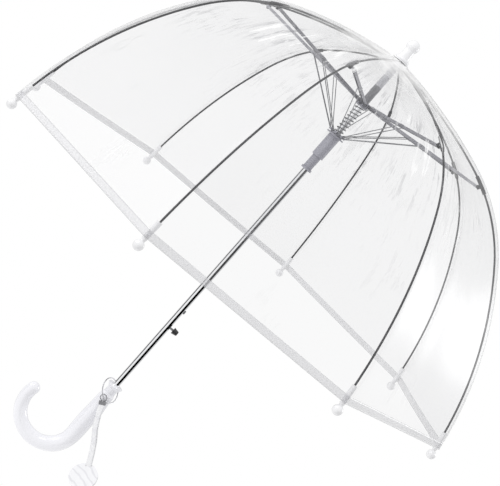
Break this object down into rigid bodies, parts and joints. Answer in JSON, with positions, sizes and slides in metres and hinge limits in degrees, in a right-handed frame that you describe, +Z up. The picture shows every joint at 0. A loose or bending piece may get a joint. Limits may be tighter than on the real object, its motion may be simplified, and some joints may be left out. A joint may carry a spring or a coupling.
{
  "type": "stick umbrella",
  "caption": "Clear dome stick umbrella: crook handle, straight shaft, sliding runner and hub, folding arms and ribs under a transparent bubble canopy.",
  "frame": {"origin": "on the shaft's axis, in the middle of the straight part of the grip", "axes": "+Z up the shaft towards the ferrule, +X the side that the crook turns to"},
  "size_m": [0.6848, 0.6848, 0.7016],
  "materials": {
    "chrome": "polished",
    "white_plastic": "gloss",
    "grip_plastic": "gloss",
    "clear_film": "clear, slightly wrinkled",
    "hem_film": "satin, welded",
    "rib_wire": "drawn, dark",
    "arm_steel": "zinc plated",
    "spring_steel": "bright drawn",
    "grey_plastic": "satin",
    "clear_plastic": "translucent",
    "black_plastic": "satin",
    "ribbon": "satin weave",
    "tag_plastic": "gloss"
  },
  "bodies": {
    "frame": {"shaft_tube": "chrome", "top_notch": "white_plastic", "stop_sleeve": "clear_plastic", "canopy_washer": "white_plastic", "ferrule_cap": "white_plastic", "canopy": "clear_film", "hem_band": "hem_film", "grip": "grip_plastic", "grip_collar": "grip_plastic", "strap_loop": "chrome"},
    "runner": {"runner": "grey_plastic", "runner_sleeve": "grey_plastic", "main_spring": "spring_steel"},
    "hub": {"hub": "grey_plastic", "hub_neck": "grey_plastic"},
    "button": {"button_cap": "black_plastic", "catch_leaf": "spring_steel"},
    "strap": {"strap_clamp": "chrome", "strap_ribbon": "ribbon", "strap_disc": "tag_plastic"},
    "rib_upper_1": {"rib_upper_1": "rib_wire"},
    "rib_lower_1": {"rib_lower_1": "rib_wire", "rib_tip_1": "white_plastic"},
    "arm_1": {"arm_1": "arm_steel"},
    "wire_1": {"wire_1": "spring_steel"},
    "rib_upper_2": {"rib_upper_2": "rib_wire"},
    "rib_lower_2": {"rib_lower_2": "rib_wire", "rib_tip_2": "white_plastic"},
    "arm_2": {"arm_2": "arm_steel"},
    "wire_2": {"wire_2": "spring_steel"},
    "rib_upper_3": {"rib_upper_3": "rib_wire"},
    "rib_lower_3": {"rib_lower_3": "rib_wire", "rib_tip_3": "white_plastic"},
    "arm_3": {"arm_3": "arm_steel"},
    "wire_3": {"wire_3": "spring_steel"},
    "rib_upper_4": {"rib_upper_4": "rib_wire"},
    "rib_lower_4": {"rib_lower_4": "rib_wire", "rib_tip_4": "white_plastic"},
    "arm_4": {"arm_4": "arm_steel"},
    "wire_4": {"wire_4": "spring_steel"},
    "rib_upper_5": {"rib_upper_5": "rib_wire"},
    "rib_lower_5": {"rib_lower_5": "rib_wire", "rib_tip_5": "white_plastic"},
    "arm_5": {"arm_5": "arm_steel"},
    "wire_5": {"wire_5": "spring_steel"},
    "rib_upper_6": {"rib_upper_6": "rib_wire"},
    "rib_lower_6": {"rib_lower_6": "rib_wire", "rib_tip_6": "white_plastic"},
    "arm_6": {"arm_6": "arm_steel"},
    "wire_6": {"wire_6": "spring_steel"},
    "rib_upper_7": {"rib_upper_7": "rib_wire"},
    "rib_lower_7": {"rib_lower_7": "rib_wire", "rib_tip_7": "white_plastic"},
    "arm_7": {"arm_7": "arm_steel"},
    "wire_7": {"wire_7": "spring_steel"},
    "rib_upper_8": {"rib_upper_8": "rib_wire"},
    "rib_lower_8": {"rib_lower_8": "rib_wire", "rib_tip_8": "white_plastic"},
    "arm_8": {"arm_8": "arm_steel"},
    "wire_8": {"wire_8": "spring_steel"}
  },
  "joints": [
    {"name": "runner_slide", "type": "slide", "parent": "frame", "child": "runner", "axis": [0, 0, -1], "range_m": [0, 0.2424], "stiffness_N_per_m": 100, "springref_m": -0.1, "deforming": ["main_spring", "canopy", "hem_band"]},
    {"name": "hub_slide", "type": "slide", "parent": "frame", "child": "hub", "axis": [0, 0, -1], "range_m": [0, 0.27717]},
    {"name": "button_press", "type": "slide", "parent": "frame", "child": "button", "axis": [1, 0, 0], "range_m": [0, 0.003], "stiffness_N_per_m": 400, "springref_m": -0.002},
    {"name": "strap_swing", "type": "hinge", "parent": "frame", "child": "strap", "pos_m": [0.0013, 0.0141, 0.032], "axis": [-0.0454, -0.996, -0.0766], "range_deg": [-45, 60]},
    {"name": "rib_swing_1", "type": "hinge", "parent": "frame", "child": "rib_upper_1", "pos_m": [0.00546, 0.00353, 0.584], "axis": [-0.5432, 0.8396, 0], "range_deg": [0, 70.08]},
    {"name": "rib_flex_1", "type": "hinge", "parent": "rib_upper_1", "child": "rib_lower_1", "pos_m": [0.15621, 0.10106, 0.53239], "axis": [0.5432, -0.8396, 0], "range_deg": [0, 39.82]},
    {"name": "arm_swing_1", "type": "hinge", "parent": "hub", "child": "arm_1", "pos_m": [0.00315, 0.00728, 0.5207], "axis": [0.5432, -0.8396, 0], "range_deg": [0, 81.62]},
    {"name": "wire_swing_1", "type": "hinge", "parent": "runner", "child": "wire_1", "pos_m": [0.00643, 0.0094, 0.4724], "axis": [0.5432, -0.8396, 0], "range_deg": [0, 53.94]},
    {"name": "rib_swing_2", "type": "hinge", "parent": "frame", "child": "rib_upper_2", "pos_m": [0.00136, 0.00636, 0.584], "axis": [-0.9778, 0.2096, 0], "range_deg": [0, 70.08]},
    {"name": "rib_flex_2", "type": "hinge", "parent": "rib_upper_2", "child": "rib_lower_2", "pos_m": [0.039, 0.18192, 0.53239], "axis": [0.9778, -0.2096, 0], "range_deg": [0, 39.82]},
    {"name": "arm_swing_2", "type": "hinge", "parent": "hub", "child": "arm_2", "pos_m": [-0.00292, 0.00738, 0.5207], "axis": [0.9778, -0.2096, 0], "range_deg": [0, 81.62]},
    {"name": "wire_swing_2", "type": "hinge", "parent": "runner", "child": "wire_2", "pos_m": [-0.0021, 0.01119, 0.4724], "axis": [0.9778, -0.2096, 0], "range_deg": [0, 53.94]},
    {"name": "rib_swing_3", "type": "hinge", "parent": "frame", "child": "rib_upper_3", "pos_m": [-0.00353, 0.00546, 0.584], "axis": [-0.8396, -0.5432, 0], "range_deg": [0, 70.08]},
    {"name": "rib_flex_3", "type": "hinge", "parent": "rib_upper_3", "child": "rib_lower_3", "pos_m": [-0.10106, 0.15621, 0.53239], "axis": [0.8396, 0.5432, 0], "range_deg": [0, 39.82]},
    {"name": "arm_swing_3", "type": "hinge", "parent": "hub", "child": "arm_3", "pos_m": [-0.00728, 0.00315, 0.5207], "axis": [0.8396, 0.5432, 0], "range_deg": [0, 81.62]},
    {"name": "wire_swing_3", "type": "hinge", "parent": "runner", "child": "wire_3", "pos_m": [-0.0094, 0.00643, 0.4724], "axis": [0.8396, 0.5432, 0], "range_deg": [0, 53.94]},
    {"name": "rib_swing_4", "type": "hinge", "parent": "frame", "child": "rib_upper_4", "pos_m": [-0.00636, 0.00136, 0.584], "axis": [-0.2096, -0.9778, 0], "range_deg": [0, 70.08]},
    {"name": "rib_flex_4", "type": "hinge", "parent": "rib_upper_4", "child": "rib_lower_4", "pos_m": [-0.18192, 0.039, 0.53239], "axis": [0.2096, 0.9778, 0], "range_deg": [0, 39.82]},
    {"name": "arm_swing_4", "type": "hinge", "parent": "hub", "child": "arm_4", "pos_m": [-0.00738, -0.00292, 0.5207], "axis": [0.2096, 0.9778, 0], "range_deg": [0, 81.62]},
    {"name": "wire_swing_4", "type": "hinge", "parent": "runner", "child": "wire_4", "pos_m": [-0.01119, -0.0021, 0.4724], "axis": [0.2096, 0.9778, 0], "range_deg": [0, 53.94]},
    {"name": "rib_swing_5", "type": "hinge", "parent": "frame", "child": "rib_upper_5", "pos_m": [-0.00546, -0.00353, 0.584], "axis": [0.5432, -0.8396, 0], "range_deg": [0, 70.08]},
    {"name": "rib_flex_5", "type": "hinge", "parent": "rib_upper_5", "child": "rib_lower_5", "pos_m": [-0.15621, -0.10106, 0.53239], "axis": [-0.5432, 0.8396, 0], "range_deg": [0, 39.82]},
    {"name": "arm_swing_5", "type": "hinge", "parent": "hub", "child": "arm_5", "pos_m": [-0.00315, -0.00728, 0.5207], "axis": [-0.5432, 0.8396, 0], "range_deg": [0, 81.62]},
    {"name": "wire_swing_5", "type": "hinge", "parent": "runner", "child": "wire_5", "pos_m": [-0.00643, -0.0094, 0.4724], "axis": [-0.5432, 0.8396, 0], "range_deg": [0, 53.94]},
    {"name": "rib_swing_6", "type": "hinge", "parent": "frame", "child": "rib_upper_6", "pos_m": [-0.00136, -0.00636, 0.584], "axis": [0.9778, -0.2096, 0], "range_deg": [0, 70.08]},
    {"name": "rib_flex_6", "type": "hinge", "parent": "rib_upper_6", "child": "rib_lower_6", "pos_m": [-0.039, -0.18192, 0.53239], "axis": [-0.9778, 0.2096, 0], "range_deg": [0, 39.82]},
    {"name": "arm_swing_6", "type": "hinge", "parent": "hub", "child": "arm_6", "pos_m": [0.00292, -0.00738, 0.5207], "axis": [-0.9778, 0.2096, 0], "range_deg": [0, 81.62]},
    {"name": "wire_swing_6", "type": "hinge", "parent": "runner", "child": "wire_6", "pos_m": [0.0021, -0.01119, 0.4724], "axis": [-0.9778, 0.2096, 0], "range_deg": [0, 53.94]},
    {"name": "rib_swing_7", "type": "hinge", "parent": "frame", "child": "rib_upper_7", "pos_m": [0.00353, -0.00546, 0.584], "axis": [0.8396, 0.5432, 0], "range_deg": [0, 70.08]},
    {"name": "rib_flex_7", "type": "hinge", "parent": "rib_upper_7", "child": "rib_lower_7", "pos_m": [0.10106, -0.15621, 0.53239], "axis": [-0.8396, -0.5432, 0], "range_deg": [0, 39.82]},
    {"name": "arm_swing_7", "type": "hinge", "parent": "hub", "child": "arm_7", "pos_m": [0.00728, -0.00315, 0.5207], "axis": [-0.8396, -0.5432, 0], "range_deg": [0, 81.62]},
    {"name": "wire_swing_7", "type": "hinge", "parent": "runner", "child": "wire_7", "pos_m": [0.0094, -0.00643, 0.4724], "axis": [-0.8396, -0.5432, 0], "range_deg": [0, 53.94]},
    {"name": "rib_swing_8", "type": "hinge", "parent": "frame", "child": "rib_upper_8", "pos_m": [0.00636, -0.00136, 0.584], "axis": [0.2096, 0.9778, 0], "range_deg": [0, 70.08]},
    {"name": "rib_flex_8", "type": "hinge", "parent": "rib_upper_8", "child": "rib_lower_8", "pos_m": [0.18192, -0.039, 0.53239], "axis": [-0.2096, -0.9778, 0], "range_deg": [0, 39.82]},
    {"name": "arm_swing_8", "type": "hinge", "parent": "hub", "child": "arm_8", "pos_m": [0.00738, 0.00292, 0.5207], "axis": [-0.2096, -0.9778, 0], "range_deg": [0, 81.62]},
    {"name": "wire_swing_8", "type": "hinge", "parent": "runner", "child": "wire_8", "pos_m": [0.01119, 0.0021, 0.4724], "axis": [-0.2096, -0.9778, 0], "range_deg": [0, 53.94]}
  ],
  "couplings": [
    {"joint": "hub_slide", "follows": "runner_slide", "ratio": 1.1434},
    {"joint": "rib_swing_1", "follows": "runner_slide", "rad_per_m": 5.0459},
    {"joint": "rib_flex_1", "follows": "runner_slide", "rad_per_m": 2.8672},
    {"joint": "arm_swing_1", "follows": "runner_slide", "rad_per_m": 5.8766},
    {"joint": "wire_swing_1", "follows": "runner_slide", "rad_per_m": 3.8834},
    {"joint": "rib_swing_2", "follows": "runner_slide", "rad_per_m": 5.0459},
    {"joint": "rib_flex_2", "follows": "runner_slide", "rad_per_m": 2.8672},
    {"joint": "arm_swing_2", "follows": "runner_slide", "rad_per_m": 5.8766},
    {"joint": "wire_swing_2", "follows": "runner_slide", "rad_per_m": 3.8834},
    {"joint": "rib_swing_3", "follows": "runner_slide", "rad_per_m": 5.0459},
    {"joint": "rib_flex_3", "follows": "runner_slide", "rad_per_m": 2.8672},
    {"joint": "arm_swing_3", "follows": "runner_slide", "rad_per_m": 5.8766},
    {"joint": "wire_swing_3", "follows": "runner_slide", "rad_per_m": 3.8834},
    {"joint": "rib_swing_4", "follows": "runner_slide", "rad_per_m": 5.0459},
    {"joint": "rib_flex_4", "follows": "runner_slide", "rad_per_m": 2.8672},
    {"joint": "arm_swing_4", "follows": "runner_slide", "rad_per_m": 5.8766},
    {"joint": "wire_swing_4", "follows": "runner_slide", "rad_per_m": 3.8834},
    {"joint": "rib_swing_5", "follows": "runner_slide", "rad_per_m": 5.0459},
    {"joint": "rib_flex_5", "follows": "runner_slide", "rad_per_m": 2.8672},
    {"joint": "arm_swing_5", "follows": "runner_slide", "rad_per_m": 5.8766},
    {"joint": "wire_swing_5", "follows": "runner_slide", "rad_per_m": 3.8834},
    {"joint": "rib_swing_6", "follows": "runner_slide", "rad_per_m": 5.0459},
    {"joint": "rib_flex_6", "follows": "runner_slide", "rad_per_m": 2.8672},
    {"joint": "arm_swing_6", "follows": "runner_slide", "rad_per_m": 5.8766},
    {"joint": "wire_swing_6", "follows": "runner_slide", "rad_per_m": 3.8834},
    {"joint": "rib_swing_7", "follows": "runner_slide", "rad_per_m": 5.0459},
    {"joint": "rib_flex_7", "follows": "runner_slide", "rad_per_m": 2.8672},
    {"joint": "arm_swing_7", "follows": "runner_slide", "rad_per_m": 5.8766},
    {"joint": "wire_swing_7", "follows": "runner_slide", "rad_per_m": 3.8834},
    {"joint": "rib_swing_8", "follows": "runner_slide", "rad_per_m": 5.0459},
    {"joint": "rib_flex_8", "follows": "runner_slide", "rad_per_m": 2.8672},
    {"joint": "arm_swing_8", "follows": "runner_slide", "rad_per_m": 5.8766},
    {"joint": "wire_swing_8", "follows": "runner_slide", "rad_per_m": 3.8834}
  ]
}
